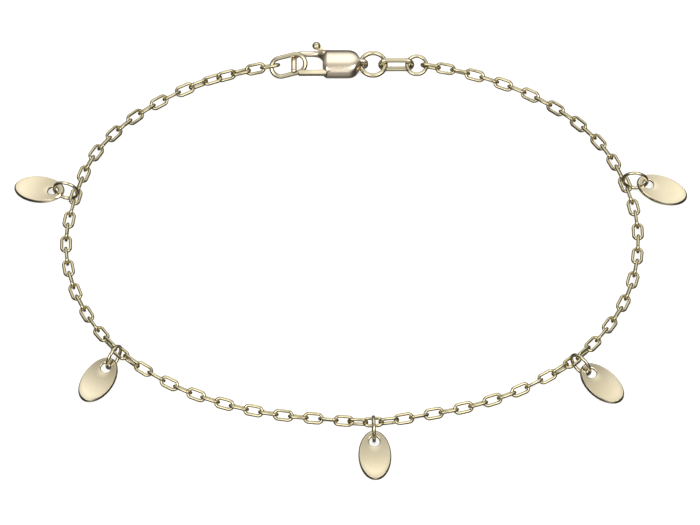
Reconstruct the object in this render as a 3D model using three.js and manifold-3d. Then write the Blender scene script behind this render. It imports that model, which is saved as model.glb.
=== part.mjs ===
import * as THREE from "three";
import { mergeVertices } from "three/addons/utils/BufferGeometryUtils.js";
import Module from "manifold-3d";

const wasm = await Module();
wasm.setup();

// Driving dimensions in millimetres and degrees, from the photograph and from trade sizes
const LOOP_HALF_LENGTH = 33.55;
const LOOP_HALF_WIDTH = 26.3;
const LOOP_SQUARENESS = 2.15;
const LOOP_CENTRE_Y = -0.3;

const LINK_COUNT = 98;
const LINK_SPLIT = 49;
const LINK_LENGTH = 2.475;
const LINK_WIDTH = 1.42;
const LINK_WIRE = 0.37;
const RIGHT_PITCH = 1.783;
const SPLIT_GAP = 0.1;
const WIRE_SIDES = 5;
const LINK_SIDES = 10;
const LINK_LEAN = 45;

const CHARM_RING_RADIUS = 1.42;
const CHARM_RING_WIRE = 0.4;
const CHARM_RING_SIDES = 12;
const DISC_LENGTH = 6.2;
const DISC_WIDTH = 3.85;
const DISC_THICKNESS = 0.38;
const DISC_BEVEL = 0.1;
const DISC_SIDES = 16;
const HOLE_RADIUS = 0.65;
const HOLE_INSET = 1.4;
const HOLE_SLACK = 0.28;
const FLOOR_GAP = 0.01;

const CLASP_LINE = 25.15;
const CLASP_MIDDLE = 1.15;
const BODY_LEFT = -3.46;
const BODY_SHOULDER = -0.3;
const BODY_RIGHT = 0.85;
const BODY_HALF_WIDTH = 1.82;
const BODY_BEVEL = 0.45;
const BODY_NOSE = 0.25;
const HOOK_BAR = { across: 0.66, tall: 0.6 };
const HOOK_LINE = 1.46;
const HOOK_ROOT = 0.3;
const HOOK_END = -6.85;
const HOOK_TIP = -1.0;
const HOOK_BEND = 0.8;
const LUG = { left: 0.2, right: 1.92, half: 0.32, tall: 1.7, corner: 0.4 };
const LUG_HOLE = { x: 1.05, radius: 0.37, stretch: 1.35 };
const SLOT = { left: -3.6, right: -0.9, low: 1.13, high: 1.77 };
const PIVOT = { x: -2.2, y: -0.5, pin: 0.3, hole: 0.36, seat: 0.2 };
const CUTTER_LENGTH = 6;
const LEVER_THICKNESS = 0.48;
const LEVER_MIDDLE = 1.45;
// The lever's outline in the clasp's own X and Y: gate bar, hub, arm and thumb knob
const LEVER_CORNERS = [
  [-6.36, -1.72], [-6.2, -1.86], [-3.2, -1.9], [-2.3, -1.45], [-1.6, -0.9], [-1.5, -0.4],
  [-2.2, 0.3], [-2.4, 1.9], [-2.55, 2.12], [-3.5, 2.14], [-3.72, 2.55], [-3.95, 2.93],
  [-4.25, 3.02], [-4.52, 2.88], [-4.62, 2.5], [-4.5, 2.15], [-4.25, 1.91], [-3.0, 1.91],
  [-2.9, 0.3], [-2.95, -0.6], [-3.4, -1.22], [-6.25, -1.26], [-6.36, -1.4],
];

const CLASP_RING = { x: 2.49, y: 0.03, z: 1.06, radius: 1.47, wire: 0.54, lean: 12 };
const CONNECTOR = { x: 5.22, y: 0.0, z: 1.05, length: 4.28, width: 1.86, wire: 0.56, lean: 76 };
const END_RING = { x: 7.64, y: -0.1, z: 1.04, radius: 1.16, wire: 0.45, lean: 15 };
const CATCH_RING = {
  x: -7.5, y: -0.12, z: 1.06, half: 2.03, rise: 1.1, wire: 0.54, lean: 36, turn: 14,
};

const CHAIN_START = { x: 9.34, height: 1.03, inset: 0.3, reach: 9, twist: 25, twistReach: 9 };
const CHAIN_END = { x: -9.7, height: 1.0, inset: 0.2, reach: 7, twist: 90, twistReach: 15 };

// One row for each charm: the link it hangs on, that link's height, how far the chain bulges
// out there, how much of its usual lean the link keeps, how far the ring swings round towards
// the front, and the oval's own tilt and further turn
const CHARMS = [
  { name: "back_right", link: 17, height: 0.82, bulge: -0.25, lean: 1.0, swing: 22, tilt: 10, turn: 14 },
  { name: "front_right", link: 33, height: 1.1, bulge: 0.3, lean: 0.05, swing: -7, tilt: 14, turn: 0 },
  { name: "front", link: 47, height: 1.17, bulge: 0.9, lean: 0.05, swing: 0, tilt: 14, turn: 0 },
  { name: "front_left", link: 65, height: 1.1, bulge: 0.3, lean: 0.05, swing: 12, tilt: 14, turn: 0 },
  { name: "back_left", link: 79, height: 0.82, bulge: -0.4, lean: 1.0, swing: 0, tilt: 10, turn: -4 },
];
const CHARM_REACH = 8;

const ORIGIN_SHIFT = new THREE.Vector3(0.151, 3.469, 0);
const YELLOW_GOLD = 0xd9c48c;
const UP = new THREE.Vector3(0, 0, 1);
const ALIKE = 1e-5;
const radians = THREE.MathUtils.degToRad;

// Solids: a closed geometry becomes a solid, and a solid becomes a geometry again

function toSolid(geometry) {
  const bare = geometry.clone();
  bare.deleteAttribute("normal");
  bare.deleteAttribute("uv");
  const merged = mergeVertices(bare, ALIKE);
  const mesh = new wasm.Mesh({
    numProp: 3,
    vertProperties: new Float32Array(merged.attributes.position.array),
    triVerts: new Uint32Array(merged.index.array),
  });
  return new wasm.Manifold(mesh);
}

function toGeometry(solid) {
  const mesh = solid.getMesh();
  const geometry = new THREE.BufferGeometry();
  geometry.setAttribute("position", new THREE.BufferAttribute(mesh.vertProperties, 3));
  geometry.setIndex(new THREE.BufferAttribute(mesh.triVerts, 1));
  return geometry;
}

// A ring or link in the XY plane: a torus whose two halves are drawn apart along X
function makeRing(radius, wire, sides, stretch = 0) {
  const geometry = new THREE.TorusGeometry(radius, wire / 2, WIRE_SIDES, sides);
  const position = geometry.attributes.position;
  const point = new THREE.Vector3();
  for (let i = 0; i < position.count; i += 1) {
    point.fromBufferAttribute(position, i);
    const angle = Math.atan2(point.y, point.x);
    const fromCentre = Math.hypot(point.x, point.y) - radius;
    const along = radius - fromCentre;
    point.set(Math.cos(angle) * along, Math.sin(angle) * along, -point.z);
    if (Math.abs(point.x) > ALIKE) point.x += Math.sign(point.x) * stretch;
    position.setXYZ(i, point.x, point.y, point.z);
  }
  return geometry;
}

function placed(geometry, along, across, normal, centre) {
  const basis = new THREE.Matrix4().makeBasis(along, across, normal).setPosition(centre);
  return geometry.clone().applyMatrix4(basis);
}

// A ring on the clasp's straight stretch: its plane holds X and leans up from the surface,
// and the ring is turned round in that plane
function placedOnLine(geometry, ring) {
  const lean = radians(ring.lean);
  const turn = radians(ring.turn ?? 0);
  const slope = new THREE.Vector3(0, Math.cos(lean), Math.sin(lean));
  const along = new THREE.Vector3(Math.cos(turn), 0, 0).addScaledVector(slope, Math.sin(turn));
  const across = new THREE.Vector3(-Math.sin(turn), 0, 0).addScaledVector(slope, Math.cos(turn));
  const normal = along.clone().cross(across);
  const centre = new THREE.Vector3(ring.x, CLASP_LINE + (ring.y ?? 0), ring.z);
  return placed(geometry, along, across, normal, centre);
}

// The loop: a squared ellipse walked clockwise from the back, measured along its length

function loopPoint(turn) {
  const power = 2 / LOOP_SQUARENESS;
  const side = Math.sin(turn);
  const back = Math.cos(turn);
  const x = LOOP_HALF_LENGTH * Math.sign(side) * Math.abs(side) ** power;
  const y = LOOP_HALF_WIDTH * Math.sign(back) * Math.abs(back) ** power;
  return new THREE.Vector3(x, LOOP_CENTRE_Y + y, 0);
}

function turnAtBack(x) {
  const turn = Math.asin((Math.abs(x) / LOOP_HALF_LENGTH) ** (LOOP_SQUARENESS / 2));
  return x > 0 ? turn : 2 * Math.PI - turn;
}

function walkLoop(steps = 4000) {
  const first = turnAtBack(CHAIN_START.x);
  const last = turnAtBack(CHAIN_END.x);
  const points = [];
  const lengths = [0];
  for (let i = 0; i <= steps; i += 1) {
    points.push(loopPoint(first + ((last - first) * i) / steps));
    if (i > 0) lengths.push(lengths[i - 1] + points[i].distanceTo(points[i - 1]));
  }
  return { points, lengths };
}

const loop = walkLoop();
const CHAIN_LENGTH = loop.lengths[loop.lengths.length - 1];
const RIGHT_LENGTH = (LINK_SPLIT - 1) * RIGHT_PITCH;
const SPLIT_PITCH = LINK_LENGTH - 2 * LINK_WIRE - SPLIT_GAP;
const LEFT_LENGTH = CHAIN_LENGTH - RIGHT_LENGTH - SPLIT_PITCH;
const LEFT_PITCH = LEFT_LENGTH / (LINK_COUNT - LINK_SPLIT - 1);

function pointAt(length) {
  const wanted = THREE.MathUtils.clamp(length, 0, CHAIN_LENGTH);
  let low = 0;
  let high = loop.lengths.length - 1;
  while (high - low > 1) {
    const middle = (low + high) >> 1;
    if (loop.lengths[middle] <= wanted) low = middle;
    else high = middle;
  }
  const span = loop.lengths[high] - loop.lengths[low];
  return loop.points[low].clone().lerp(loop.points[high], (wanted - loop.lengths[low]) / span);
}

function stationOf(link) {
  if (link < LINK_SPLIT) return link * RIGHT_PITCH;
  return CHAIN_LENGTH - (LINK_COUNT - 1 - link) * LEFT_PITCH;
}

// From 1 at the place itself to 0 at the end of its reach, with no corner
function nearness(distance, reach) {
  const share = Math.min(Math.abs(distance) / reach, 1);
  return 0.5 + 0.5 * Math.cos(Math.PI * share);
}

function outwardAt(length) {
  const ahead = pointAt(length + 0.05);
  const behind = pointAt(length - 0.05);
  return UP.clone().cross(ahead.sub(behind)).normalize();
}

// How far the flat links lean outward: the whole chain shows one side to the front
function leanAt(length) {
  const facing = Math.tan(radians(LINK_LEAN)) * -outwardAt(length).y;
  let lean = THREE.MathUtils.radToDeg(Math.atan(facing));
  for (const charm of CHARMS) {
    const near = nearness(length - stationOf(charm.link), CHARM_REACH);
    lean *= 1 - (1 - charm.lean) * near;
  }
  lean += CHAIN_START.twist * nearness(length, CHAIN_START.twistReach);
  return lean + CHAIN_END.twist * nearness(CHAIN_LENGTH - length, CHAIN_END.twistReach);
}

function restingHeight(leanDegrees) {
  const lean = radians(leanDegrees);
  const reach = Math.max(Math.abs(Math.sin(lean)), Math.abs(Math.cos(lean)));
  return ((LINK_WIDTH - LINK_WIRE) / 2) * reach + LINK_WIRE / 2;
}

function centreAt(length) {
  const point = pointAt(length);
  const outward = outwardAt(length);
  let height = restingHeight(leanAt(length));
  for (const charm of CHARMS) {
    const near = nearness(length - stationOf(charm.link), CHARM_REACH);
    height += (charm.height - height) * near;
    point.addScaledVector(outward, charm.bulge * near);
  }
  const nearStart = nearness(length, CHAIN_START.reach);
  height += (CHAIN_START.height - height) * nearStart;
  point.addScaledVector(outward, -CHAIN_START.inset * nearStart);
  const nearEnd = nearness(CHAIN_LENGTH - length, CHAIN_END.reach);
  height += (CHAIN_END.height - height) * nearEnd;
  point.addScaledVector(outward, -CHAIN_END.inset * nearEnd);
  point.z = height;
  return point;
}

function frameAt(length) {
  const reach = RIGHT_PITCH / 2;
  const ahead = Math.min(length + reach, CHAIN_LENGTH);
  const behind = Math.max(length - reach, 0);
  const along = centreAt(ahead).sub(centreAt(behind)).normalize();
  const outward = UP.clone().cross(along).normalize();
  const upright = along.clone().cross(outward);
  const lean = radians(leanAt(length));
  const normal = upright.multiplyScalar(Math.cos(lean)).addScaledVector(outward, Math.sin(lean));
  const across = normal.clone().cross(along);
  return { centre: centreAt(length), along, across, normal, outward };
}

// The chain: flat and upright links by turns, each through the next, soldered into one body

const linkGeometry = makeRing(
  (LINK_WIDTH - LINK_WIRE) / 2,
  LINK_WIRE,
  LINK_SIDES,
  (LINK_LENGTH - LINK_WIDTH) / 2,
);

function makeLink(link) {
  const { centre, along, across, normal } = frameAt(stationOf(link));
  const isFlat = link % 2 === 1;
  const sideways = isFlat ? across : normal;
  const facing = along.clone().cross(sideways);
  return toSolid(placed(linkGeometry, along, sideways, facing, centre));
}

function makeChain(first, last) {
  const links = [];
  for (let link = first; link <= last; link += 1) links.push(makeLink(link));
  return toGeometry(wasm.Manifold.union(links));
}

// Charms: a jump ring stands on the surface, holds a link at its back and the oval in front

function charmFrame(charm) {
  const { centre, outward } = frameAt(stationOf(charm.link));
  outward.applyAxisAngle(UP, radians(-Math.sign(centre.x) * charm.swing));
  const ringHeight = CHARM_RING_RADIUS + CHARM_RING_WIRE / 2 + FLOOR_GAP;
  const drop = ringHeight - centre.z;
  const ringCentre = centre.clone();
  ringCentre.addScaledVector(outward, Math.sqrt(CHARM_RING_RADIUS ** 2 - drop ** 2));
  ringCentre.z = ringHeight;
  return { ringCentre, outward };
}

function makeCharmRing(charm) {
  const { ringCentre, outward } = charmFrame(charm);
  const ring = makeRing(CHARM_RING_RADIUS, CHARM_RING_WIRE, CHARM_RING_SIDES);
  return placed(ring, outward, UP, outward.clone().cross(UP), ringCentre);
}

function ovalShape(length, width, sides) {
  const points = [];
  for (let i = 0; i < sides; i += 1) {
    const turn = (2 * Math.PI * (i + 0.5)) / sides;
    points.push(new THREE.Vector2((length / 2) * Math.cos(turn), (width / 2) * Math.sin(turn)));
  }
  return new THREE.Shape(points);
}

function makeDiscBlank() {
  const outline = ovalShape(DISC_LENGTH - 2 * DISC_BEVEL, DISC_WIDTH - 2 * DISC_BEVEL, DISC_SIDES);
  const plate = new THREE.ExtrudeGeometry(outline, {
    depth: DISC_THICKNESS - 2 * DISC_BEVEL,
    bevelThickness: DISC_BEVEL,
    bevelSize: DISC_BEVEL,
    bevelSegments: 1,
  });
  plate.translate(0, 0, -(DISC_THICKNESS - 2 * DISC_BEVEL) / 2);
  const drill = new THREE.CylinderGeometry(HOLE_RADIUS, HOLE_RADIUS, CUTTER_LENGTH, 10);
  drill.rotateX(Math.PI / 2);
  drill.translate(-DISC_LENGTH / 2 + HOLE_INSET, 0, 0);
  return toGeometry(toSolid(plate).subtract(toSolid(drill)));
}

const discBlank = makeDiscBlank();

function makeCharmDisc(charm) {
  const { ringCentre, outward } = charmFrame(charm);
  const tilt = radians(charm.tilt);
  const fromWireToTip = HOLE_SLACK + DISC_LENGTH - HOLE_INSET;
  const wireHeight =
    fromWireToTip * Math.sin(tilt) + (DISC_THICKNESS / 2) * Math.cos(tilt) + FLOOR_GAP;
  const drop = ringCentre.z - wireHeight;
  const wirePoint = ringCentre.clone();
  wirePoint.addScaledVector(outward, Math.sqrt(CHARM_RING_RADIUS ** 2 - drop ** 2));
  wirePoint.z = wireHeight;
  const heading = outward.clone().applyAxisAngle(UP, radians(-Math.sign(ringCentre.x) * charm.turn));
  const along = heading.clone().multiplyScalar(Math.cos(tilt)).addScaledVector(UP, -Math.sin(tilt));
  const normal = heading.clone().multiplyScalar(Math.sin(tilt)).addScaledVector(UP, Math.cos(tilt));
  const across = normal.clone().cross(along);
  const reach = HOLE_SLACK - HOLE_INSET + DISC_LENGTH / 2;
  const centre = wirePoint.clone().addScaledVector(along, reach);
  return placed(discBlank, along, across, normal, centre);
}

// The clasp's body: a cushioned shell with a bar that runs on as the hook and a lug behind

function bodyShape() {
  const half = BODY_HALF_WIDTH - BODY_BEVEL;
  const left = BODY_LEFT + BODY_BEVEL;
  const right = BODY_RIGHT - BODY_BEVEL;
  const shape = new THREE.Shape();
  shape.moveTo(left, -half);
  shape.lineTo(BODY_SHOULDER, -half);
  shape.quadraticCurveTo(right - BODY_NOSE, -half, right, -BODY_NOSE);
  shape.lineTo(right, BODY_NOSE);
  shape.quadraticCurveTo(right - BODY_NOSE, half, BODY_SHOULDER, half);
  shape.lineTo(left, half);
  shape.closePath();
  return shape;
}

function makeBodyShell() {
  const depth = 2 * CLASP_MIDDLE - 2 * BODY_BEVEL;
  const shell = new THREE.ExtrudeGeometry(bodyShape(), {
    depth,
    bevelThickness: BODY_BEVEL,
    bevelSize: BODY_BEVEL,
    bevelSegments: 2,
    curveSegments: 4,
  });
  shell.translate(0, CLASP_LINE, BODY_BEVEL);
  return toSolid(shell);
}

function makeHook() {
  const path = new THREE.CurvePath();
  const bendStart = new THREE.Vector3(HOOK_END + HOOK_BEND, HOOK_LINE, 0);
  const bendEnd = new THREE.Vector3(HOOK_END, HOOK_LINE - HOOK_BEND, 0);
  const corner = new THREE.Vector3(HOOK_END, HOOK_LINE, 0);
  path.add(new THREE.LineCurve3(new THREE.Vector3(BODY_LEFT + HOOK_ROOT, HOOK_LINE, 0), bendStart));
  path.add(new THREE.QuadraticBezierCurve3(bendStart, corner, bendEnd));
  path.add(new THREE.LineCurve3(bendEnd, new THREE.Vector3(HOOK_END, HOOK_TIP, 0)));
  const section = ovalShape(HOOK_BAR.tall, HOOK_BAR.across, 8);
  const hook = new THREE.ExtrudeGeometry(section, { steps: 12, extrudePath: path });
  hook.translate(0, CLASP_LINE, CLASP_MIDDLE);
  return toSolid(hook);
}

function makeLug() {
  const outline = new THREE.Shape();
  const low = CLASP_MIDDLE - LUG.tall / 2;
  const high = CLASP_MIDDLE + LUG.tall / 2;
  outline.moveTo(LUG.left, low);
  outline.lineTo(LUG.right - LUG.corner, low);
  outline.lineTo(LUG.right, low + LUG.corner);
  outline.lineTo(LUG.right, high - LUG.corner);
  outline.lineTo(LUG.right - LUG.corner, high);
  outline.lineTo(LUG.left, high);
  outline.closePath();
  const block = new THREE.ExtrudeGeometry(outline, { depth: 2 * LUG.half, bevelEnabled: false });
  block.rotateX(Math.PI / 2);
  block.translate(0, CLASP_LINE + LUG.half, 0);
  return toSolid(block);
}

function makeClaspBody() {
  const slot = new THREE.BoxGeometry(SLOT.right - SLOT.left, CUTTER_LENGTH, SLOT.high - SLOT.low);
  slot.translate((SLOT.left + SLOT.right) / 2, CLASP_LINE, (SLOT.low + SLOT.high) / 2);
  const pinLength = SLOT.high - SLOT.low + 2 * PIVOT.seat;
  const pin = new THREE.CylinderGeometry(PIVOT.pin, PIVOT.pin, pinLength, 12);
  pin.rotateX(Math.PI / 2);
  pin.translate(PIVOT.x, CLASP_LINE + PIVOT.y, (SLOT.low + SLOT.high) / 2);
  const eye = new THREE.CylinderGeometry(LUG_HOLE.radius, LUG_HOLE.radius, CUTTER_LENGTH, 12);
  eye.scale(1, 1, LUG_HOLE.stretch);
  eye.translate(LUG_HOLE.x, CLASP_LINE, CLASP_RING.z);
  const shell = makeBodyShell().subtract(toSolid(slot)).add(makeLug());
  return toGeometry(shell.add(makeHook()).add(toSolid(pin)).subtract(toSolid(eye)));
}

// The clasp's lever: one flat piece that is gate, hub and thumb knob
function makeClaspLever() {
  const outline = new THREE.Shape(LEVER_CORNERS.map(([x, y]) => new THREE.Vector2(x, y)));
  const hole = new THREE.Path();
  hole.absarc(PIVOT.x, PIVOT.y, PIVOT.hole, 0, 2 * Math.PI, true);
  outline.holes.push(hole);
  const lever = new THREE.ExtrudeGeometry(outline, {
    depth: LEVER_THICKNESS,
    bevelEnabled: false,
    curveSegments: 12,
  });
  lever.translate(0, CLASP_LINE, LEVER_MIDDLE - LEVER_THICKNESS / 2);
  return lever;
}

// The line of rings behind the clasp, and the large ring that the hook holds

function makeLineRing(ring, sides) {
  return placedOnLine(makeRing(ring.radius, ring.wire, sides), ring);
}

function makeConnector() {
  const radius = (CONNECTOR.width - CONNECTOR.wire) / 2;
  const stretch = (CONNECTOR.length - CONNECTOR.width) / 2;
  return placedOnLine(makeRing(radius, CONNECTOR.wire, 10, stretch), CONNECTOR);
}

function makeCatchRing() {
  const stretch = CATCH_RING.half - CATCH_RING.rise;
  const ring = makeRing(CATCH_RING.rise, CATCH_RING.wire, 14, stretch);
  return placedOnLine(ring, CATCH_RING);
}

// The bracelet as a scene of named pieces

const bracelet = new THREE.Group();
bracelet.name = "bracelet";
bracelet.position.copy(ORIGIN_SHIFT);

function addPiece(name, geometry, roughness) {
  const material = new THREE.MeshStandardMaterial({ color: YELLOW_GOLD, metalness: 1, roughness });
  const piece = new THREE.Mesh(geometry, material);
  piece.name = name;
  bracelet.add(piece);
}

addPiece("chain_right", makeChain(0, LINK_SPLIT - 1), 0.22);
addPiece("chain_left", makeChain(LINK_SPLIT, LINK_COUNT - 1), 0.22);
for (const charm of CHARMS) {
  addPiece(`charm_ring_${charm.name}`, makeCharmRing(charm), 0.15);
  addPiece(`charm_oval_${charm.name}`, makeCharmDisc(charm), 0.1);
}
addPiece("clasp_body", makeClaspBody(), 0.12);
addPiece("clasp_lever", makeClaspLever(), 0.18);
addPiece("clasp_ring", makeLineRing(CLASP_RING, 14), 0.15);
addPiece("connector_link", makeConnector(), 0.15);
addPiece("end_ring", makeLineRing(END_RING, 12), 0.15);
addPiece("catch_ring", makeCatchRing(), 0.15);

export default bracelet;
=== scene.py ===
import bisect
import math

import bmesh
import bpy
from mathutils import Matrix, Vector


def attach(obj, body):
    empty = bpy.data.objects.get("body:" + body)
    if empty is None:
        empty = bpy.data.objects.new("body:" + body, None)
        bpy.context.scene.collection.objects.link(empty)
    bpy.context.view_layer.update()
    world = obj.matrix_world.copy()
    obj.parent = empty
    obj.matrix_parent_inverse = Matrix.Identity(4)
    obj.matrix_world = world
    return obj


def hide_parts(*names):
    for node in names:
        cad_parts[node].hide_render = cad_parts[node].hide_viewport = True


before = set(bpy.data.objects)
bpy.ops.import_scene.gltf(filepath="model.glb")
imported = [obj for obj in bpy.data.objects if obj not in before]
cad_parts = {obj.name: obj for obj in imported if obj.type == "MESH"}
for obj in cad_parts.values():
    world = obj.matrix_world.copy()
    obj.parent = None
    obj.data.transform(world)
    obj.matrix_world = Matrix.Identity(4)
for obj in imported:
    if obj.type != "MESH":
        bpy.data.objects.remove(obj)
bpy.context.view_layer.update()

# The camera stands well back behind a long lens, in front of the bracelet and
# above it, so the far side of the loop looks as large as the near side.

MM = 0.001
VIEW_ELEVATION = math.radians(53)
VIEW_WIDTH = 82.06 * MM
VIEW_AIM = Vector((-0.084 * MM, 0.165 * MM, 0))
LENS = 1100
SENSOR = 36

towards_camera = Vector((0, -math.cos(VIEW_ELEVATION), math.sin(VIEW_ELEVATION)))
bpy.ops.object.camera_add(
    location=VIEW_AIM + towards_camera * VIEW_WIDTH * LENS / SENSOR,
    rotation=(math.pi / 2 - VIEW_ELEVATION, 0, 0),
)
camera = bpy.context.object
camera.data.lens = LENS
camera.data.sensor_width = SENSOR
bpy.context.scene.camera = camera
bpy.context.scene.view_settings.view_transform = "Standard"

# The jeweller's table is a sheet of smooth white card. It is matt, with a very
# faint mottle of its fibres, so the gold stands on plain white.

CARD_LIGHT = "#F8F7F5"
CARD_DEEP = "#F3F2EF"
CARD_MOTTLE = 9 * MM
CARD_SIZE = 1.2
CARD_GLOW = 0.68


def colour(hex_code):
    channels = []
    for start in (1, 3, 5):
        value = int(hex_code[start:start + 2], 16) / 255
        channels.append(value / 12.92 if value <= 0.04045 else ((value + 0.055) / 1.055) ** 2.4)
    return (*channels, 1)


def add_node(tree, kind, settings=None, links=None):
    node = tree.nodes.new(kind)
    for name, value in (settings or {}).items():
        if name in node.inputs:
            node.inputs[name].default_value = value
        else:
            setattr(node, name, value)
    for name, source in (links or {}).items():
        tree.links.new(source, node.inputs[name])
    return node


def set_ramp(node, stops):
    elements = node.color_ramp.elements
    while len(elements) < len(stops):
        elements.new(0.5)
    for element, (place, tint) in zip(elements, stops):
        element.position = place
        element.color = tint


def blank_material(name):
    material = bpy.data.materials.new(name)
    material.use_nodes = True
    material.node_tree.nodes.clear()
    return material, material.node_tree


def finish_material(tree, shader):
    add_node(tree, "ShaderNodeOutputMaterial", links={"Surface": shader.outputs["BSDF"]})


card, card_tree = blank_material("white_card")
place = add_node(card_tree, "ShaderNodeTexCoord")
mottle = add_node(
    card_tree, "ShaderNodeTexNoise", {"Scale": 1 / CARD_MOTTLE, "Detail": 4},
    {"Vector": place.outputs["Object"]},
)
card_tint = add_node(card_tree, "ShaderNodeValToRGB", links={"Fac": mottle.outputs["Fac"]})
set_ramp(card_tint, [(0.35, colour(CARD_DEEP)), (0.65, colour(CARD_LIGHT))])
card_shader = add_node(
    card_tree, "ShaderNodeBsdfPrincipled",
    {
        "Roughness": 0.95, "Specular IOR Level": 0.1,
        "Emission Color": colour(CARD_LIGHT), "Emission Strength": CARD_GLOW,
    },
    {"Base Color": card_tint.outputs["Color"]},
)
finish_material(card_tree, card_shader)

bpy.ops.mesh.primitive_plane_add(size=CARD_SIZE)
floor = bpy.context.object
floor.name = "floor"
floor.data.materials.append(card)
# The gold is lit by the tent alone, so the card doesn't blow out its undersides
floor.visible_glossy = False

# The light is a white tent: bright at the very front and high behind, dimmer between,
# with a dark rim at the table's level that draws the dark edges of gold. Two soft
# boxes in front, high up, lay the bright lines along the wires.

TENT_STRENGTH = 1.25
# Each stop is a place and a light: 0 is straight ahead to the front, 1 to the back
TENT_FRONT_TO_BACK = [
    (0.0, 2.5), (0.03, 1.7), (0.10, 0.78), (0.20, 0.44), (0.40, 0.42), (0.50, 0.48),
    (0.58, 0.68), (0.66, 1.05), (0.76, 1.18), (0.88, 1.18), (0.95, 0.92), (1.0, 0.60),
]
# Here 0 is straight down, 0.5 level with the table and 1 straight up
TENT_TABLE_TO_TOP = [
    (0.0, 0.24), (0.30, 0.20), (0.46, 0.09), (0.54, 0.15), (0.66, 0.42), (0.80, 0.82), (0.90, 1.0),
]
# The tent is lighter at its middle than at its sides
TENT_MIDDLE = 1.06
TENT_SIDES = 0.5
TENT_SIDES_FROM = 0.06
TENT_SIDES_FULL = 0.45
# Each soft box is turned from the front and raised, in degrees
BOX_DISTANCE = 0.55
BOX_SIZE = 0.36
BOXES = [
    {"name": "box_left", "turn": -38, "rise": 44, "watts": 0.8},
    {"name": "box_right", "turn": 44, "rise": 52, "watts": 0.8},
]


def grey(value):
    return (value, value, value, 1)


tent = bpy.data.worlds.new("white_tent")
bpy.context.scene.world = tent
tent.use_nodes = True
tent_tree = tent.node_tree
tent_tree.nodes.clear()
heading = add_node(tent_tree, "ShaderNodeTexCoord")
heading_parts = add_node(
    tent_tree, "ShaderNodeSeparateXYZ", links={"Vector": heading.outputs["Generated"]},
)
front_to_back = add_node(
    tent_tree, "ShaderNodeMapRange", {"From Min": -1, "From Max": 1},
    {"Value": heading_parts.outputs["Y"]},
)
depth_light = add_node(
    tent_tree, "ShaderNodeValToRGB", links={"Fac": front_to_back.outputs["Result"]},
)
set_ramp(depth_light, [(stop, grey(value)) for stop, value in TENT_FRONT_TO_BACK])
table_to_top = add_node(
    tent_tree, "ShaderNodeMapRange", {"From Min": -1, "From Max": 1},
    {"Value": heading_parts.outputs["Z"]},
)
height_light = add_node(
    tent_tree, "ShaderNodeValToRGB", links={"Fac": table_to_top.outputs["Result"]},
)
set_ramp(height_light, [(stop, grey(value)) for stop, value in TENT_TABLE_TO_TOP])
from_middle = add_node(
    tent_tree, "ShaderNodeMath", {"operation": "ABSOLUTE"},
    {0: heading_parts.outputs["X"]},
)
side_light = add_node(
    tent_tree, "ShaderNodeMapRange",
    {
        "From Min": TENT_SIDES_FROM, "From Max": TENT_SIDES_FULL,
        "To Min": TENT_MIDDLE, "To Max": TENT_SIDES,
    },
    {"Value": from_middle.outputs["Value"]},
)
depth_and_height = add_node(
    tent_tree, "ShaderNodeVectorMath", {"operation": "MULTIPLY"},
    {0: depth_light.outputs["Color"], 1: height_light.outputs["Color"]},
)
tent_light = add_node(
    tent_tree, "ShaderNodeVectorMath", {"operation": "MULTIPLY"},
    {0: depth_and_height.outputs["Vector"], 1: side_light.outputs["Result"]},
)
tent_glow = add_node(
    tent_tree, "ShaderNodeBackground", {"Strength": TENT_STRENGTH},
    {"Color": tent_light.outputs["Vector"]},
)
add_node(tent_tree, "ShaderNodeOutputWorld", links={"Surface": tent_glow.outputs["Background"]})

for box in BOXES:
    turn = math.radians(box["turn"])
    rise = math.radians(box["rise"])
    out = Vector((math.sin(turn) * math.cos(rise), -math.cos(turn) * math.cos(rise), math.sin(rise)))
    bpy.ops.object.light_add(type="AREA", location=out * BOX_DISTANCE)
    lamp = bpy.context.object
    lamp.name = box["name"]
    lamp.rotation_euler = out.to_track_quat("Z", "Y").to_euler()
    lamp.data.shape = "DISK"
    lamp.data.size = BOX_SIZE
    lamp.data.energy = box["watts"]

# The trace chain is round drawn wire of pale yellow gold, bent into oval links that
# lie across each other by turns, each through the next and soldered shut.
# It lies on the card in one open loop, as two lengths that meet beside the front charm.

ROW_SHIFT = Vector((0.151, 3.469, 0)) * MM
LOOP_HALF_LENGTH = 33.55 * MM
LOOP_HALF_WIDTH = 26.3 * MM
LOOP_SQUARENESS = 2.15
LOOP_CENTRE_Y = -0.3 * MM
LOOP_STEPS = 4000
TANGENT_STEP = 0.05 * MM

LINK_COUNT = 98
LINK_SPLIT = 49
LINK_LENGTH = 2.475 * MM
LINK_WIDTH = 1.42 * MM
LINK_WIRE = 0.37 * MM
WIRE_SLACK = 0.018 * MM
RIGHT_PITCH = 1.783 * MM
SPLIT_GAP = 0.1 * MM
LINK_LEAN = 45
LINK_BENDS = 22
LINK_WIRE_SIDES = 10

# Where each end of the chain lies, how high, how far it is drawn in over what reach,
# and how many degrees its links are twisted over what reach
CHAIN_START = {
    "x": 9.34 * MM, "height": 1.03 * MM, "inset": 0.3 * MM, "reach": 9 * MM,
    "twist": 25, "twist_reach": 9 * MM,
}
CHAIN_END = {
    "x": -9.7 * MM, "height": 1.0 * MM, "inset": 0.2 * MM, "reach": 7 * MM,
    "twist": 90, "twist_reach": 15 * MM,
}
CHARM_REACH = 8 * MM
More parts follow.
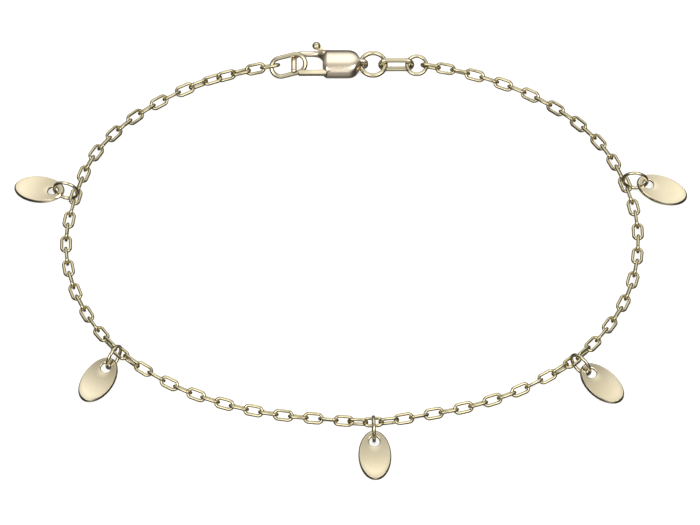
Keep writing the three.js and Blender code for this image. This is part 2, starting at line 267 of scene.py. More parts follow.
# One row for each charm: its link, that link's height, how far the chain bulges out
# there, how much of its usual lean the link keeps, how far the ring swings round
# towards the front, and the oval's own tilt and further turn
CHARM_FIELDS = ("name", "link", "height", "bulge", "lean", "swing", "tilt", "turn")
CHARM_ROWS = [
    ("back_right", 17, 0.82, -0.25, 1.0, 22, 10, 14),
    ("front_right", 33, 1.1, 0.3, 0.05, -7, 14, 0),
    ("front", 47, 1.17, 0.9, 0.05, 0, 14, 0),
    ("front_left", 65, 1.1, 0.3, 0.05, 12, 14, 0),
    ("back_left", 79, 0.82, -0.4, 1.0, 0, 10, -4),
]
CHARMS = [dict(zip(CHARM_FIELDS, row)) for row in CHARM_ROWS]
UP = Vector((0, 0, 1))


def loop_point(turn):
    power = 2 / LOOP_SQUARENESS
    side = math.sin(turn)
    back = math.cos(turn)
    x = LOOP_HALF_LENGTH * math.copysign(abs(side) ** power, side)
    y = LOOP_HALF_WIDTH * math.copysign(abs(back) ** power, back)
    return Vector((x, LOOP_CENTRE_Y + y, 0))


def turn_at_back(x):
    turn = math.asin((abs(x) / LOOP_HALF_LENGTH) ** (LOOP_SQUARENESS / 2))
    return turn if x > 0 else 2 * math.pi - turn


first_turn = turn_at_back(CHAIN_START["x"])
last_turn = turn_at_back(CHAIN_END["x"])
loop_points = []
loop_lengths = []
for step in range(LOOP_STEPS + 1):
    point = loop_point(first_turn + (last_turn - first_turn) * step / LOOP_STEPS)
    if step == 0:
        loop_lengths.append(0)
    else:
        loop_lengths.append(loop_lengths[-1] + (point - loop_points[-1]).length)
    loop_points.append(point)
CHAIN_LENGTH = loop_lengths[-1]
SPLIT_PITCH = LINK_LENGTH - 2 * LINK_WIRE - SPLIT_GAP
LEFT_LENGTH = CHAIN_LENGTH - (LINK_SPLIT - 1) * RIGHT_PITCH - SPLIT_PITCH
LEFT_PITCH = LEFT_LENGTH / (LINK_COUNT - LINK_SPLIT - 1)


def point_at(length):
    wanted = min(max(length, 0), CHAIN_LENGTH)
    high = min(max(bisect.bisect_right(loop_lengths, wanted), 1), LOOP_STEPS)
    share = (wanted - loop_lengths[high - 1]) / (loop_lengths[high] - loop_lengths[high - 1])
    return loop_points[high - 1].lerp(loop_points[high], share)


def station_of(link):
    if link < LINK_SPLIT:
        return link * RIGHT_PITCH
    return CHAIN_LENGTH - (LINK_COUNT - 1 - link) * LEFT_PITCH


def nearness(distance, reach):
    share = min(abs(distance) / reach, 1)
    return 0.5 + 0.5 * math.cos(math.pi * share)


def outward_at(length):
    ahead = point_at(length + TANGENT_STEP)
    behind = point_at(length - TANGENT_STEP)
    return UP.cross(ahead - behind).normalized()


def lean_at(length):
    lean = math.degrees(math.atan(math.tan(math.radians(LINK_LEAN)) * -outward_at(length).y))
    for charm in CHARMS:
        near = nearness(length - station_of(charm["link"]), CHARM_REACH)
        lean *= 1 - (1 - charm["lean"]) * near
    lean += CHAIN_START["twist"] * nearness(length, CHAIN_START["twist_reach"])
    return lean + CHAIN_END["twist"] * nearness(CHAIN_LENGTH - length, CHAIN_END["twist_reach"])


def centre_at(length):
    point = point_at(length)
    outward = outward_at(length)
    lean = math.radians(lean_at(length))
    reach = max(abs(math.sin(lean)), abs(math.cos(lean)))
    height = (LINK_WIDTH - LINK_WIRE) / 2 * reach + LINK_WIRE / 2
    for charm in CHARMS:
        near = nearness(length - station_of(charm["link"]), CHARM_REACH)
        height += (charm["height"] * MM - height) * near
        point += outward * (charm["bulge"] * MM * near)
    for end, distance in ((CHAIN_START, length), (CHAIN_END, CHAIN_LENGTH - length)):
        near = nearness(distance, end["reach"])
        height += (end["height"] - height) * near
        point -= outward * (end["inset"] * near)
    point.z = height
    return point


def frame_at(length):
    ahead = min(length + RIGHT_PITCH / 2, CHAIN_LENGTH)
    behind = max(length - RIGHT_PITCH / 2, 0)
    along = (centre_at(ahead) - centre_at(behind)).normalized()
    outward = UP.cross(along).normalized()
    upright = along.cross(outward)
    lean = math.radians(lean_at(length))
    normal = upright * math.cos(lean) + outward * math.sin(lean)
    return centre_at(length), along, normal.cross(along), normal, outward


def placing(along, across, normal, centre):
    turn = Matrix((along, across, normal)).transposed().to_4x4()
    return Matrix.Translation(ROW_SHIFT + centre) @ turn


def start_clean():
    if bpy.context.mode != "OBJECT":
        bpy.ops.object.mode_set(mode="OBJECT")
    bpy.ops.object.select_all(action="DESELECT")


def pick_points(piece, wanted):
    mesh = bmesh.from_edit_mesh(piece.data)
    for point in mesh.verts:
        point.select_set(wanted(point.co))
    mesh.select_flush_mode()
    bmesh.update_edit_mesh(piece.data)


# A length of round wire bent into a ring, then drawn apart at its middle
def bend_link(name, radius, wire, draw, bends, wire_sides):
    start_clean()
    bpy.ops.mesh.primitive_torus_add(
        major_radius=radius, minor_radius=wire / 2, major_segments=bends, minor_segments=wire_sides,
    )
    link = bpy.context.object
    link.name = name
    bpy.ops.object.mode_set(mode="EDIT")
    for side in (1, -1):
        pick_points(link, lambda place: place.x * side > 0)
        bpy.ops.transform.translate(value=(side * draw, 0, 0))
    bpy.ops.object.mode_set(mode="OBJECT")
    bpy.ops.object.shade_smooth()
    return link


def lay_copy(model, name, place):
    piece = model.copy()
    piece.data = model.data.copy()
    piece.name = name
    piece.data.transform(place)
    bpy.context.collection.objects.link(piece)
    return piece


def join_pieces(name, pieces):
    start_clean()
    for piece in pieces:
        piece.select_set(True)
    bpy.context.view_layer.objects.active = pieces[0]
    bpy.ops.object.join()
    pieces[0].name = name
    return pieces[0]


SCRATCH_STRENGTH = 0.06
SCRATCH_DEPTH = 0.01 * MM
SCRATCH_STRETCH = (1, 0.12, 0.4)
SCRATCH_TURN = (0, 0, 0.6)


# Pale yellow gold: a metal of one colour that drifts a little, with a polish that is
# never quite even and the hair scratches that wear leaves. Sizes are in metres.
def gold_finish(name, light, deep, polish, drift, hair):
    material, tree = blank_material(name)
    place = add_node(tree, "ShaderNodeTexCoord")
    alloy = add_node(
        tree, "ShaderNodeTexNoise", {"Scale": 1 / drift, "Detail": 3},
        {"Vector": place.outputs["Object"]},
    )
    tint = add_node(tree, "ShaderNodeValToRGB", links={"Fac": alloy.outputs["Fac"]})
    set_ramp(tint, [(0.3, colour(deep)), (0.7, colour(light))])
    buffing = add_node(
        tree, "ShaderNodeTexNoise", {"Scale": 3 / drift, "Detail": 5, "Roughness": 0.6},
        {"Vector": place.outputs["Object"]},
    )
    gloss = add_node(
        tree, "ShaderNodeMapRange",
        {"From Min": 0.3, "From Max": 0.7, "To Min": polish[0], "To Max": polish[1]},
        {"Value": buffing.outputs["Fac"]},
    )
    grain = add_node(
        tree, "ShaderNodeMapping", {"Scale": SCRATCH_STRETCH, "Rotation": SCRATCH_TURN},
        {"Vector": place.outputs["Object"]},
    )
    scratches = add_node(
        tree, "ShaderNodeTexNoise", {"Scale": 1 / hair, "Detail": 2},
        {"Vector": grain.outputs["Vector"]},
    )
    relief = add_node(
        tree, "ShaderNodeBump", {"Strength": SCRATCH_STRENGTH, "Distance": SCRATCH_DEPTH},
        {"Height": scratches.outputs["Fac"]},
    )
    shader = add_node(
        tree, "ShaderNodeBsdfPrincipled", {"Metallic": 1},
        {
            "Base Color": tint.outputs["Color"],
            "Roughness": gloss.outputs["Result"],
            "Normal": relief.outputs["Normal"],
        },
    )
    finish_material(tree, shader)
    return material


# Hair scratches are about 0.02 mm wide; they are drawn 0.1 mm wide so that they show
# The chain's two colours are darker than the same gold on the other parts: painted shade on the thin
# wires
shaded_drawn_wire = gold_finish(
    "drawn_gold_wire_painted_shade", "#DCD1AB", "#CBC098", (0.1, 0.18), 2.5 * MM, 0.1 * MM,
)


def dress(piece, material, body, slot, *nodes):
    piece.data.materials.clear()
    piece.data.materials.append(material)
    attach(piece, body)
    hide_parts(*nodes)


link_model = bend_link(
    "link", (LINK_WIDTH - LINK_WIRE) / 2, LINK_WIRE + WIRE_SLACK,
    (LINK_LENGTH - LINK_WIDTH) / 2, LINK_BENDS, LINK_WIRE_SIDES,
)


def thread_chain(name, links):
    pieces = []
    for link in links:
        centre, along, across, normal, _ = frame_at(station_of(link))
        sideways = across if link % 2 == 1 else normal
        place = placing(along, sideways, along.cross(sideways), centre)
        pieces.append(lay_copy(link_model, f"{name}_{link}", place))
    return join_pieces(name, pieces)


links_right = thread_chain("links_right", range(LINK_SPLIT))
dress(links_right, shaded_drawn_wire, "bracelet", "chain_gold", "chain_right")
links_left = thread_chain("links_left", range(LINK_SPLIT, LINK_COUNT))
dress(links_left, shaded_drawn_wire, "bracelet", "chain_gold", "chain_left")
bpy.data.objects.remove(link_model)

# Each charm hangs on a round jump ring: a turn of thicker drawn gold wire, sawn off
# and closed with a hair of a seam. It stands on the card, through its link.

CHARM_RING_RADIUS = 1.42 * MM
CHARM_RING_WIRE = 0.4 * MM
FLOOR_GAP = 0.01 * MM
CHARM_RING_BENDS = 44
CHARM_RING_SIDES = 14
SAW_CUT = 0.03 * MM
# The saw cut is turned low and inward, where the link hides it
SAW_CUT_TURN = math.radians(-70)
RING_SMOOTHING = math.radians(50)
MERGE_DISTANCE = 1e-7


# A turn of round wire, sawn through where the turn starts
def coil_ring(name, radius, wire, bends, wire_sides):
    start_clean()
    bpy.ops.mesh.primitive_circle_add(
        vertices=wire_sides, radius=wire / 2, fill_type="NGON",
        location=(radius, 0, 0), rotation=(math.pi / 2, 0, 0),
    )
    ring = bpy.context.object
    ring.name = name
    bpy.ops.object.transform_apply()
    bpy.ops.object.mode_set(mode="EDIT")
    bpy.ops.mesh.select_all(action="SELECT")
    bpy.ops.mesh.spin(
        steps=bends, angle=2 * math.pi - SAW_CUT / radius, center=(0, 0, 0), axis=(0, 0, 1),
    )
    bpy.ops.mesh.select_all(action="SELECT")
    bpy.ops.mesh.remove_doubles(threshold=MERGE_DISTANCE)
    bpy.ops.mesh.normals_make_consistent(inside=False)
    bpy.ops.object.mode_set(mode="OBJECT")
    bpy.ops.object.shade_smooth_by_angle(angle=RING_SMOOTHING)
    return ring


def charm_ring_frame(charm):
    centre, _, _, _, outward = frame_at(station_of(charm["link"]))
    swing = -math.copysign(1, centre.x) * math.radians(charm["swing"])
    outward = Matrix.Rotation(swing, 3, "Z") @ outward
    height = CHARM_RING_RADIUS + CHARM_RING_WIRE / 2 + FLOOR_GAP
    reach = math.sqrt(CHARM_RING_RADIUS ** 2 - (height - centre.z) ** 2)
    ring_centre = centre + outward * reach
    ring_centre.z = height
    return ring_centre, outward


ring_wire = gold_finish(
    "coiled_gold_wire", "#EBE1C2", "#DBD0AC", (0.1, 0.18), 3 * MM, 0.1 * MM,
)
charm_ring_model = coil_ring(
    "charm_ring", CHARM_RING_RADIUS, CHARM_RING_WIRE, CHARM_RING_BENDS, CHARM_RING_SIDES,
)
charm_ring_model.data.transform(Matrix.Rotation(SAW_CUT_TURN, 4, "Z"))
for charm in CHARMS:
    ring_centre, outward = charm_ring_frame(charm)
    place = placing(outward, UP, outward.cross(UP), ring_centre)
    ring = lay_copy(charm_ring_model, "jump_ring_" + charm["name"], place)
    dress(ring, ring_wire, "bracelet", "polished_gold", "charm_ring_" + charm["name"])
bpy.data.objects.remove(charm_ring_model)

# The charms are plain ovals stamped from gold sheet just under 0.4 mm thick, a little
# dished, drilled near one end, and polished on both faces and round every edge.

DISC_LENGTH = 6.2 * MM
DISC_WIDTH = 3.85 * MM
DISC_THICKNESS = 0.38 * MM
HOLE_EDGE = 0.2 * MM
# The rim from the face down, as inset in mm and share of the half thickness
RIM_PROFILE = [
    (0.25, 1.0), (0.21, 0.97), (0.18, 0.88), (0.12, 0.5), (0.06, 0.12), (0.015, -0.2),
    (0.0, -0.35), (0.0, -0.75), (0.04, -0.95), (0.09, -1.0),
]
EDGE_STEPS = 6
FACE_STEPS = 6
DISC_DISH_LONG = 0.19 * MM
DISC_DISH_WIDE = 0.05 * MM
HOLE_RADIUS = 0.6 * MM
HOLE_INSET = 1.4 * MM
HOLE_SLACK = 0.28 * MM
DISC_POINTS = 72


# A form drawn out ring by ring from a first ring. It is closed with a cap at both ends,
# or, where the last ring meets the first, by joining them.
def draw_out(name, rings, capped=True):
    start_clean()
    # The circle's own size is of no matter, as each of its points is moved into place
    bpy.ops.mesh.primitive_circle_add(vertices=len(rings[0]), radius=1 * MM)
    form = bpy.context.object
    form.name = name
    for point, place in zip(form.data.vertices, rings[0]):
        point.co = place
    bpy.ops.object.mode_set(mode="EDIT")
    bpy.ops.mesh.select_all(action="SELECT")
    order = list(range(len(rings[0])))
    for ring in rings[1:]:
        bpy.ops.mesh.extrude_region_move()
        mesh = bmesh.from_edit_mesh(form.data)
        mesh.verts.ensure_lookup_table()
        mesh.verts.index_update()
        next_order = []
        for index, place in zip(order, ring):
            old = mesh.verts[index]
            for edge in old.link_edges:
                new = edge.other_vert(old)
                if new.select and new.index not in order:
                    break
            new.co = place
            next_order.append(new.index)
        order = next_order
        bmesh.update_edit_mesh(form.data)
    bpy.ops.mesh.select_all(action="SELECT")
    if capped:
        bpy.ops.mesh.region_to_loop()
        bpy.ops.mesh.edge_face_add()
    else:
        bpy.ops.mesh.remove_doubles(threshold=MERGE_DISTANCE)
    bpy.ops.mesh.select_all(action="SELECT")
    bpy.ops.mesh.normals_make_consistent(inside=False)
    bpy.ops.object.mode_set(mode="OBJECT")
    return form


# The hole and the rim are joined by one profile, as distance from the hole and share
# of the half thickness: up over the hole's edge, out over the face, down the rim and
# back underneath
def oval_profile(span):
    over_hole = []
    for step in range(EDGE_STEPS):
        turn = math.pi / 2 * step / EDGE_STEPS
        over_hole.append((HOLE_EDGE * (1 - math.cos(turn)), math.sin(turn)))
    face = []
    reach = span - HOLE_EDGE - RIM_PROFILE[0][0] * MM
    for step in range(FACE_STEPS + 1):
        face.append((HOLE_EDGE + reach * step / FACE_STEPS, 1))
    rim = [(span - inset * MM, height) for inset, height in RIM_PROFILE[1:]]
    under = [(out, -height) for out, height in reversed(over_hole[1:] + face[:-1])]
    return over_hole + face + rim + under


def stamp_oval():
    lines = []
    for number in range(DISC_POINTS):
        turn = 2 * math.pi * number / DISC_POINTS
        heading = Vector((math.cos(turn), math.sin(turn), 0))
        at_hole = heading * HOLE_RADIUS + Vector((HOLE_INSET - DISC_LENGTH / 2, 0, 0))
        at_rim = Vector((heading.x * DISC_LENGTH / 2, heading.y * DISC_WIDTH / 2, 0))
        span = (at_rim - at_hole).length
        out = (at_rim - at_hole).normalized()
        line = []
        for distance, height in oval_profile(span):
            point = at_hole + out * distance
            long_share = point.x / (DISC_LENGTH / 2)
            wide_share = point.y / (DISC_WIDTH / 2)
            dish = DISC_DISH_LONG * (long_share ** 2 - 0.5) + DISC_DISH_WIDE * wide_share ** 2
            point.z = dish + height * DISC_THICKNESS / 2
            line.append(point)
        lines.append(line)
    rings = [list(ring) for ring in zip(*lines)]
    oval = draw_out("oval", rings + [rings[0]], capped=False)
    start_clean()
    oval.select_set(True)
    bpy.context.view_layer.objects.active = oval
    bpy.ops.object.shade_smooth()
    return oval


polished_sheet = gold_finish(
    "polished_gold_sheet", "#EBE0C2", "#E1D4B2", (0.12, 0.18), 6 * MM, 0.12 * MM,
)
oval_model = stamp_oval()
for charm in CHARMS:
    ring_centre, outward = charm_ring_frame(charm)
    tilt = math.radians(charm["tilt"])
    wire_to_tip = HOLE_SLACK + DISC_LENGTH - HOLE_INSET
    wire_height = wire_to_tip * math.sin(tilt) + DISC_THICKNESS / 2 * math.cos(tilt) + FLOOR_GAP
    reach = math.sqrt(CHARM_RING_RADIUS ** 2 - (ring_centre.z - wire_height) ** 2)
    wire_point = ring_centre + outward * reach
    wire_point.z = wire_height
    turn = -math.copysign(1, ring_centre.x) * math.radians(charm["turn"])
    out = Matrix.Rotation(turn, 3, "Z") @ outward
    along = out * math.cos(tilt) - UP * math.sin(tilt)
    normal = out * math.sin(tilt) + UP * math.cos(tilt)
    centre = wire_point + along * (HOLE_SLACK - HOLE_INSET + DISC_LENGTH / 2)
    place = placing(along, normal.cross(along), normal, centre)
    oval = lay_copy(oval_model, "oval_" + charm["name"], place)
    dress(oval, polished_sheet, "bracelet", "polished_gold", "charm_oval_" + charm["name"])
bpy.data.objects.remove(oval_model)

# The lobster clasp's body is a gold casting: a cushion with a flat left end, a lug at
# the right, and a bar along its back that runs on and bends to the front as the hook.

CLASP_LINE = 25.15 * MM
CLASP_MIDDLE = 1.15 * MM
# From here on, places on the clasp are in millimetres: x along it, y from its middle
# line to the back and z from the card, until clasp_place makes metres of them.
# The cushion from left to right: x, half width, half height
CUSHION = [
    (-3.46, 1.37, 0.70), (-3.45, 1.45, 0.78), (-3.40, 1.53, 0.87), (-3.28, 1.63, 0.97),
    (-3.14, 1.73, 1.06), (-3.06, 1.78, 1.11), (-3.00, 1.805, 1.135), (-2.85, 1.82, 1.15),
    (-2.3, 1.82, 1.15), (-1.6, 1.82, 1.15), (-0.9, 1.82, 1.15), (-0.45, 1.815, 1.15),
    (-0.15, 1.78, 1.145), (0.1, 1.70, 1.13), (0.3, 1.57, 1.11), (0.46, 1.42, 1.08),
    (0.6, 1.22, 1.05), (0.71, 1.01, 1.01), (0.8, 0.8, 0.97), (0.88, 0.61, 0.94),
    (0.97, 0.46, 0.91), (1.1, 0.37, 0.88), (1.3, 0.33, 0.85), (1.5, 0.32, 0.8),
    (1.66, 0.3, 0.71), (1.78, 0.27, 0.58), (1.86, 0.21, 0.42), (1.91, 0.12, 0.22),
]
CUSHION_SQUARENESS = 2.4
CUSHION_SIDES = 56
BODY_HALF_WIDTH = 1.82
LUG_HALF_WIDTH = 0.46
# The cushion's widest line lies this far below its middle, and this far to the back
BODY_SINK = 0.3
BODY_SHIFT = 0.08
HOOK_SQUARENESS = 2.3
HOOK_SIDES = 28
HOOK_ROOT_STEPS = 8
HOOK_BAR_STEPS = 5
HOOK_BEND_STEPS = 9
HOOK_TIP_STEPS = 4
HOOK_TIP_ROUNDING = (0.35, 0.65, 0.88, 0.97)
HOOK_LINE = 1.46
HOOK_START = -2.6
HOOK_FACE = -3.46
HOOK_END = -6.85
HOOK_BEND = 0.8
HOOK_TIP = -1.0
HOOK_HALF_ACROSS = 0.33
HOOK_HALF_TALL = 0.3
HOOK_FLARE = 0.62
HOOK_RISE = 0.5
HOOK_RISE_REACH = 1.3
SLOT_LOW = 1.13
SLOT_HIGH = 1.77
SLOT_OUTLINE = [
    (-4.2, -2.4), (-2.93, -2.4), (-2.93, -1.6), (-1.35, -1.15), (-1.3, -0.2), (-1.85, 0.5),
    (-1.85, 2.6), (-3.15, 2.6), (-3.15, 0.55), (-4.2, 0.55),
]
PIVOT = {"x": -2.2, "y": -0.5, "pin": 0.3, "hole": 0.36}
PIN_SIDES = 24
PIN_ROOTS = 0.4
EYE = {"x": 1.05, "z": 1.06, "radius": 0.37, "stretch": 1.35}
EYE_SIDES = 32
EYE_DRILL_LENGTH = 4 * MM
CLASP_SMOOTHING = math.radians(32)


def ring_points(sides, half_across, half_tall, squareness):
    points = []
    for side in range(sides):
        turn = 2 * math.pi * side / sides
        across = math.copysign(abs(math.cos(turn)) ** (2 / squareness), math.cos(turn))
        tall = math.copysign(abs(math.sin(turn)) ** (2 / squareness), math.sin(turn))
        points.append((half_across * across, half_tall * tall))
    return points


def clasp_place(x, y, z):
    return ROW_SHIFT + Vector((x * MM, CLASP_LINE + y * MM, z * MM))


def cast_cushion():
    rings = []
    for x, half_width, half_height in CUSHION:
        share = min(max((half_width - LUG_HALF_WIDTH) / (BODY_HALF_WIDTH - LUG_HALF_WIDTH), 0), 1)
        sink = BODY_SINK * share
        middle = CLASP_MIDDLE / MM - sink
        section = []
        for y, z in ring_points(CUSHION_SIDES, half_width, 1, CUSHION_SQUARENESS):
            tall = half_height + math.copysign(sink, z)
            section.append(clasp_place(x, y + BODY_SHIFT * share, middle + z * tall))
        rings.append(section)
    return draw_out("clasp_cushion", rings)


# The middle of the hook's bar, from inside the cushion to its tip, as x, y and heading
def hook_path():
    stations = []
    flare_end = HOOK_FACE - HOOK_FLARE
    for step in range(HOOK_ROOT_STEPS + 1):
        x = HOOK_START + (flare_end - HOOK_START) * step / HOOK_ROOT_STEPS
        stations.append((x, HOOK_LINE, -1, 0))
    bar_end = HOOK_END + HOOK_BEND
    for step in range(1, HOOK_BAR_STEPS + 1):
        x = flare_end + (bar_end - flare_end) * step / HOOK_BAR_STEPS
        stations.append((x, HOOK_LINE, -1, 0))
    for step in range(1, HOOK_BEND_STEPS + 1):
        turn = math.pi / 2 * step / HOOK_BEND_STEPS
        x = bar_end - HOOK_BEND * math.sin(turn)
        y = HOOK_LINE - HOOK_BEND * (1 - math.cos(turn))
        stations.append((x, y, -math.cos(turn), -math.sin(turn)))
    bend_end = HOOK_LINE - HOOK_BEND
    for step in range(1, HOOK_TIP_STEPS + 1):
        y = bend_end + (HOOK_TIP - bend_end) * step / HOOK_TIP_STEPS
        stations.append((HOOK_END, y, 0, -1))
    return stations


def cast_hook():
    rings = []
    path = hook_path()
    middle = CLASP_MIDDLE / MM
    for x, y, along_x, along_y in path:
        into_flare = min(max((x - HOOK_FACE + HOOK_FLARE) / HOOK_FLARE, 0), 1)
        flare = HOOK_FLARE * (1 - math.sqrt(1 - into_flare ** 2))
        into_rise = min(max((x - HOOK_FACE + HOOK_RISE_REACH) / HOOK_RISE_REACH, 0), 1)
        half_tall = HOOK_HALF_TALL + HOOK_RISE * into_rise ** 2
        half_across = HOOK_HALF_ACROSS + flare / 2
        section = ring_points(HOOK_SIDES, half_across, half_tall, HOOK_SQUARENESS)
        ring = []
        for across, tall in section:
            side = across - flare / 2
            ring.append(clasp_place(x + along_y * side, y - along_x * side, middle + tall))
        rings.append(ring)
    tip_x, tip_y, _, _ = path[-1]
    for share in HOOK_TIP_ROUNDING:
        shrink = math.sqrt(1 - share ** 2)
        half_across = HOOK_HALF_ACROSS * shrink
        section = ring_points(HOOK_SIDES, half_across, HOOK_HALF_TALL * shrink, HOOK_SQUARENESS)
        y = tip_y - HOOK_HALF_TALL * share
        rings.append([clasp_place(tip_x + across, y, middle + tall) for across, tall in section])
    return draw_out("clasp_hook", rings)


def cut_block(name, outline, low, high):
    low_ring = [clasp_place(x, y, low) for x, y in outline]
    high_ring = [clasp_place(x, y, high) for x, y in outline]
    return draw_out(name, [low_ring, high_ring])


def add_modifier(piece, kind, **settings):
    modifier = piece.modifiers.new(kind.lower(), kind)
    for name, value in settings.items():
        setattr(modifier, name, value)
    start_clean()
    piece.select_set(True)
    bpy.context.view_layer.objects.active = piece
    bpy.ops.object.modifier_apply(modifier=modifier.name)


def carve(piece, tool, operation):
    add_modifier(piece, "BOOLEAN", object=tool, operation=operation, solver="EXACT")
    bpy.data.objects.remove(tool)


# The casting's two colours are lighter than the same gold on the other parts: painted light on the
# clasp body
lit_cast_gold = gold_finish(
    "lapped_gold_casting_painted_light", "#FBEED6", "#F3E3C8", (0.2, 0.28), 5 * MM, 0.12 * MM,
)
clasp = cast_cushion()
carve(clasp, cast_hook(), "UNION")
carve(clasp, cut_block("slot", SLOT_OUTLINE, SLOT_LOW, SLOT_HIGH), "DIFFERENCE")
start_clean()
bpy.ops.mesh.primitive_cylinder_add(
    vertices=PIN_SIDES, radius=PIVOT["pin"] * MM, depth=(SLOT_HIGH - SLOT_LOW + PIN_ROOTS) * MM,
    location=clasp_place(PIVOT["x"], PIVOT["y"], (SLOT_LOW + SLOT_HIGH) / 2),
)
pin = bpy.context.object
bpy.ops.object.transform_apply()
carve(clasp, pin, "UNION")
start_clean()
bpy.ops.mesh.primitive_cylinder_add(
    vertices=EYE_SIDES, radius=EYE["radius"] * MM, depth=EYE_DRILL_LENGTH,
    location=clasp_place(EYE["x"], 0, EYE["z"]), rotation=(math.pi / 2, 0, 0),
    scale=(1, EYE["stretch"], 1),
)
eye = bpy.context.object
bpy.ops.object.transform_apply()
carve(clasp, eye, "DIFFERENCE")
start_clean()
clasp.select_set(True)
bpy.context.view_layer.objects.active = clasp
bpy.ops.object.shade_smooth_by_angle(angle=CLASP_SMOOTHING)
clasp.name = "clasp_casting"
dress(clasp, lit_cast_gold, "bracelet", "polished_gold", "clasp_body")

# The lever is one flat rocker of cast gold on a pin inside the body: a gate bar along
# the front, a hub, and a thumb knob behind. It is plain, tumbled bright on all sides.

# Low and high side of each stretch
BAR = (1.21, 1.69)
ARM = (1.21, 1.33)
STEM = (1.24, 1.6)
# Each corner of the outline with its stretch: gate bar and hub, arm, stem, arm, hub
LEVER_CORNERS = [
    (-6.36, -1.72, BAR), (-6.2, -1.86, BAR), (-3.08, -1.86, BAR), (-2.98, -1.7, BAR),
    (-2.94, -1.5, BAR), (-2.3, -1.33, BAR), (-1.6, -0.9, BAR), (-1.5, -0.4, BAR),
    (-2.2, 0.3, BAR), (-2.4, 1.75, ARM), (-2.6, 2.02, ARM), (-3.4, 2.06, ARM),
    (-3.7, 2.45, STEM), (-3.95, 2.75, STEM), (-4.2, 2.8, STEM), (-4.4, 2.7, STEM),
    (-4.42, 2.4, STEM), (-4.2, 2.15, STEM), (-3.95, 1.91, ARM), (-3.0, 1.88, ARM),
    (-2.9, 0.3, BAR), (-2.95, -0.6, BAR), (-3.4, -1.22, BAR), (-6.25, -1.26, BAR),
    (-6.36, -1.4, BAR),
]
KNOB = {"x": -4.2, "y": 2.5, "z": 1.44, "radius": 0.5, "flat": 0.84}
KNOB_SIDES = 28
KNOB_RINGS = 16
PIVOT_DRILL_LENGTH = 2 * MM
LEVER_EDGE_STEPS = 3
LEVER_EDGE_ANGLE = math.radians(25)
LEVER_SMOOTHING = math.radians(40)
LEVER_EDGE = 0.13 * MM


def cast_lever():
    low_ring = [clasp_place(x, y, low) for x, y, (low, _) in LEVER_CORNERS]
    high_ring = [clasp_place(x, y, high) for x, y, (_, high) in LEVER_CORNERS]
    lever = draw_out("lever_casting", [low_ring, high_ring])
    start_clean()
    bpy.ops.mesh.primitive_cylinder_add(
        vertices=PIN_SIDES, radius=PIVOT["hole"] * MM, depth=PIVOT_DRILL_LENGTH,
        location=clasp_place(PIVOT["x"], PIVOT["y"], (BAR[0] + BAR[1]) / 2),
    )
    hole = bpy.context.object
    bpy.ops.object.transform_apply()
    carve(lever, hole, "DIFFERENCE")
    add_modifier(
        lever, "BEVEL", width=LEVER_EDGE, segments=LEVER_EDGE_STEPS,
        limit_method="ANGLE", angle_limit=LEVER_EDGE_ANGLE,
    )
    start_clean()
    bpy.ops.mesh.primitive_uv_sphere_add(
        segments=KNOB_SIDES, ring_count=KNOB_RINGS, radius=KNOB["radius"] * MM,
        location=clasp_place(KNOB["x"], KNOB["y"], KNOB["z"]), scale=(1, 1, KNOB["flat"]),
    )
    knob = bpy.context.object
    bpy.ops.object.transform_apply()
    carve(lever, knob, "UNION")
    start_clean()
    lever.select_set(True)
    bpy.context.view_layer.objects.active = lever
    bpy.ops.object.shade_smooth_by_angle(angle=LEVER_SMOOTHING)
    return lever


tumbled_gold = gold_finish(
    "tumbled_gold_casting", "#EADFC2", "#DACDAA", (0.18, 0.3), 2 * MM, 0.1 * MM,
)
lever = cast_lever()
dress(lever, tumbled_gold, "lever", "polished_gold", "clasp_lever")

# The fittings between clasp and chain: a ring in the lug, a long link of two bars, and
# a small ring that holds the first link. All are drawn wire, soldered and polished.

CLASP_RING = {
    "x": 2.49, "y": 0.03, "z": 1.06, "radius": 1.47, "wire": 0.54, "lean": 12,
    "bends": 56, "sides": 18,
}
CONNECTOR = {
    "x": 5.22, "y": 0.0, "z": 1.05, "length": 4.28, "width": 1.86, "wire": 0.56, "lean": 76,
    "bends": 38, "sides": 18,
}
END_RING = {
    "x": 7.64, "y": -0.1, "z": 1.04, "radius": 1.16, "wire": 0.45, "lean": 15,
    "bends": 48, "sides": 16,
}


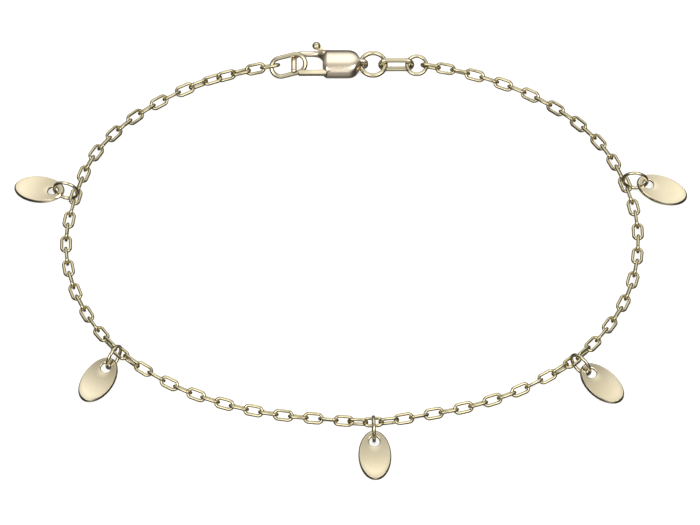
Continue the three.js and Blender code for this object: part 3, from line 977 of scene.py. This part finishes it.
def place_on_line(piece, ring):
    lean = math.radians(ring["lean"])
    turn = math.radians(ring.get("turn", 0))
    slope = Vector((0, math.cos(lean), math.sin(lean)))
    along = Vector((math.cos(turn), 0, 0)) + slope * math.sin(turn)
    across = Vector((-math.sin(turn), 0, 0)) + slope * math.cos(turn)
    centre = Vector((ring["x"] * MM, CLASP_LINE + ring["y"] * MM, ring["z"] * MM))
    piece.data.transform(placing(along, across, along.cross(across), centre))


clasp_ring = coil_ring(
    "clasp_jump_ring", CLASP_RING["radius"] * MM, CLASP_RING["wire"] * MM,
    CLASP_RING["bends"], CLASP_RING["sides"],
)
place_on_line(clasp_ring, CLASP_RING)
dress(clasp_ring, ring_wire, "bracelet", "polished_gold", "clasp_ring")

connector = bend_link(
    "connector_bars", (CONNECTOR["width"] - CONNECTOR["wire"]) / 2 * MM, CONNECTOR["wire"] * MM,
    (CONNECTOR["length"] - CONNECTOR["width"]) / 2 * MM, CONNECTOR["bends"], CONNECTOR["sides"],
)
place_on_line(connector, CONNECTOR)
dress(connector, ring_wire, "bracelet", "polished_gold", "connector_link")

end_ring = coil_ring(
    "end_jump_ring", END_RING["radius"] * MM, END_RING["wire"] * MM,
    END_RING["bends"], END_RING["sides"],
)
place_on_line(end_ring, END_RING)
dress(end_ring, ring_wire, "bracelet", "polished_gold", "end_ring")

# The catch ring is the large oval ring on the chain's left end, and what the clasp snaps
# on to. It is wire as thick as the clasp ring's, and leans in the hook.

# Half its length and its rise are to the middle of the wire
CATCH_RING = {
    "x": -7.5, "y": -0.12, "z": 1.06, "half": 2.03, "rise": 1.1, "wire": 0.54,
    "lean": 36, "turn": 14, "bends": 54, "sides": 18,
}

catch_ring = bend_link(
    "catch_oval_ring", CATCH_RING["rise"] * MM, CATCH_RING["wire"] * MM,
    (CATCH_RING["half"] - CATCH_RING["rise"]) * MM, CATCH_RING["bends"], CATCH_RING["sides"],
)
place_on_line(catch_ring, CATCH_RING)
dress(catch_ring, ring_wire, "bracelet", "polished_gold", "catch_ring")

start_clean()
